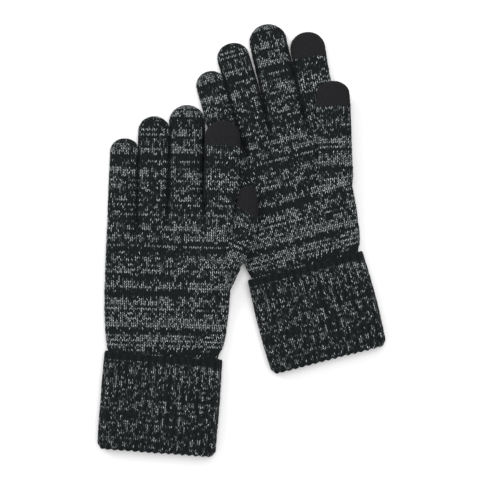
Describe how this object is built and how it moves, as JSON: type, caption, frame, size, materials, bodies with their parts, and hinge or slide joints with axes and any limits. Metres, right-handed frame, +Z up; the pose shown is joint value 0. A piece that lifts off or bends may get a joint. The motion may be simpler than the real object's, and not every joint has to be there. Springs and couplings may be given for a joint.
{
  "type": "touchscreen gloves",
  "caption": "Pair of marled knit gloves laid flat, one on the other, with black conductive index and thumb tips and turned-up ribbed cuffs.",
  "frame": {"origin": "under the middle of the pair's bounding box, on the table that the gloves lie on", "axes": "+X across the pair, +Y from the cuffs towards the fingertips, +Z up from the table"},
  "size_m": [0.2032, 0.304, 0.018],
  "materials": {
    "marled_knit": "matte marled stockinette knit",
    "marled_rib": "matte marled rib knit",
    "conductive_knit": "matte black conductive knit"
  },
  "bodies": {
    "right_hand": {"right_hand": "marled_knit", "right_wrist_rib": "marled_rib", "right_pinky_base": "marled_knit", "right_index_base": "marled_knit"},
    "left_hand": {"left_hand": "marled_knit", "left_wrist_rib": "marled_rib"},
    "right_cuff": {"right_cuff_turnup": "marled_rib"},
    "right_pinky_end": {"right_pinky_end": "marled_knit"},
    "right_ring_base": {"right_ring_base": "marled_knit"},
    "right_ring_end": {"right_ring_end": "marled_knit"},
    "right_middle_base": {"right_middle_base": "marled_knit"},
    "right_middle_end": {"right_middle_end": "marled_knit"},
    "right_index_end": {"right_index_end": "marled_knit", "right_index_touch_tip": "conductive_knit"},
    "right_thumb": {"right_thumb": "marled_knit", "right_thumb_touch_tip": "conductive_knit"},
    "left_cuff": {"left_cuff_turnup": "marled_rib"},
    "left_pinky_base": {"left_pinky_base": "marled_knit"},
    "left_pinky_end": {"left_pinky_end": "marled_knit"},
    "left_ring_base": {"left_ring_base": "marled_knit"},
    "left_ring_end": {"left_ring_end": "marled_knit"},
    "left_middle_base": {"left_middle_base": "marled_knit"},
    "left_middle_end": {"left_middle_end": "marled_knit"},
    "left_index_base": {"left_index_base": "marled_knit"},
    "left_index_end": {"left_index_end": "marled_knit", "left_index_touch_tip": "conductive_knit"},
    "left_thumb": {"left_thumb": "marled_knit", "left_thumb_touch_tip": "conductive_knit"}
  },
  "joints": [
    {"name": "right_cuff_unroll", "type": "slide", "parent": "right_hand", "child": "right_cuff", "axis": [0.2504, -0.9681, 0], "range_m": [0, 0.06]},
    {"name": "right_pinky_bend", "type": "hinge", "parent": "right_hand", "child": "right_pinky_end", "pos_m": [-0.01866, 0.09843, 0.0038], "axis": [0.9632, 0.2689, 0], "range_deg": [0, 85]},
    {"name": "right_ring_knuckle", "type": "hinge", "parent": "right_hand", "child": "right_ring_base", "pos_m": [0.0068, 0.08494, 0.0038], "axis": [0.9598, 0.2807, 0], "range_deg": [0, 80]},
    {"name": "right_ring_bend", "type": "hinge", "parent": "right_ring_base", "child": "right_ring_end", "pos_m": [-0.0014, 0.11296, 0.0038], "axis": [0.9598, 0.2807, 0], "range_deg": [0, 85]},
    {"name": "right_middle_knuckle", "type": "hinge", "parent": "right_hand", "child": "right_middle_base", "pos_m": [0.02887, 0.09546, 0.0038], "axis": [0.9736, 0.2284, 0], "range_deg": [0, 80]},
    {"name": "right_middle_bend", "type": "hinge", "parent": "right_middle_base", "child": "right_middle_end", "pos_m": [0.02202, 0.12467, 0.0038], "axis": [0.9736, 0.2284, 0], "range_deg": [0, 85]},
    {"name": "right_index_bend", "type": "hinge", "parent": "right_hand", "child": "right_index_end", "pos_m": [0.04992, 0.11557, 0.0038], "axis": [0.9854, 0.1702, 0], "range_deg": [0, 85]},
    {"name": "right_thumb_lift", "type": "hinge", "parent": "right_hand", "child": "right_thumb", "pos_m": [0.06538, 0.04635, 0.013], "axis": [0.9996, 0.0297, 0], "range_deg": [0, 80]},
    {"name": "left_glove_lift", "type": "slide", "parent": "right_hand", "child": "left_hand", "axis": [0, 0, 1], "range_m": [0, 0.12]},
    {"name": "left_cuff_unroll", "type": "slide", "parent": "left_hand", "child": "left_cuff", "axis": [-0.075, -0.9972, 0], "range_m": [0, 0.06]},
    {"name": "left_pinky_knuckle", "type": "hinge", "parent": "left_hand", "child": "left_pinky_base", "pos_m": [-0.08391, 0.01775, 0.0038], "axis": [0.9995, -0.0314, 0], "range_deg": [0, 80]},
    {"name": "left_pinky_bend", "type": "hinge", "parent": "left_pinky_base", "child": "left_pinky_end", "pos_m": [-0.08308, 0.04413, 0.0038], "axis": [0.9995, -0.0314, 0], "range_deg": [0, 85]},
    {"name": "left_ring_knuckle", "type": "hinge", "parent": "left_hand", "child": "left_ring_base", "pos_m": [-0.06281, 0.0282, 0.0038], "axis": [0.9998, -0.0209, 0], "range_deg": [0, 80]},
    {"name": "left_ring_bend", "type": "hinge", "parent": "left_ring_base", "child": "left_ring_end", "pos_m": [-0.06217, 0.05839, 0.0038], "axis": [0.9998, -0.0209, 0], "range_deg": [0, 85]},
    {"name": "left_middle_knuckle", "type": "hinge", "parent": "left_hand", "child": "left_middle_base", "pos_m": [-0.03921, 0.03228, 0.0038], "axis": [0.9998, -0.0175, 0], "range_deg": [0, 80]},
    {"name": "left_middle_bend", "type": "hinge", "parent": "left_middle_base", "child": "left_middle_end", "pos_m": [-0.03865, 0.06428, 0.0038], "axis": [0.9998, -0.0175, 0], "range_deg": [0, 85]},
    {"name": "left_index_knuckle", "type": "hinge", "parent": "left_hand", "child": "left_index_base", "pos_m": [-0.01502, 0.03305, 0.013], "axis": [0.9992, -0.0401, 0], "range_deg": [0, 80]},
    {"name": "left_index_bend", "type": "hinge", "parent": "left_index_base", "child": "left_index_end", "pos_m": [-0.01412, 0.05553, 0.013], "axis": [0.9992, -0.0401, 0], "range_deg": [0, 85]},
    {"name": "left_thumb_lift", "type": "hinge", "parent": "left_hand", "child": "left_thumb", "pos_m": [0.00117, 0.00551, 0.013], "axis": [0.9938, -0.1115, 0], "range_deg": [0, 80]}
  ]
}
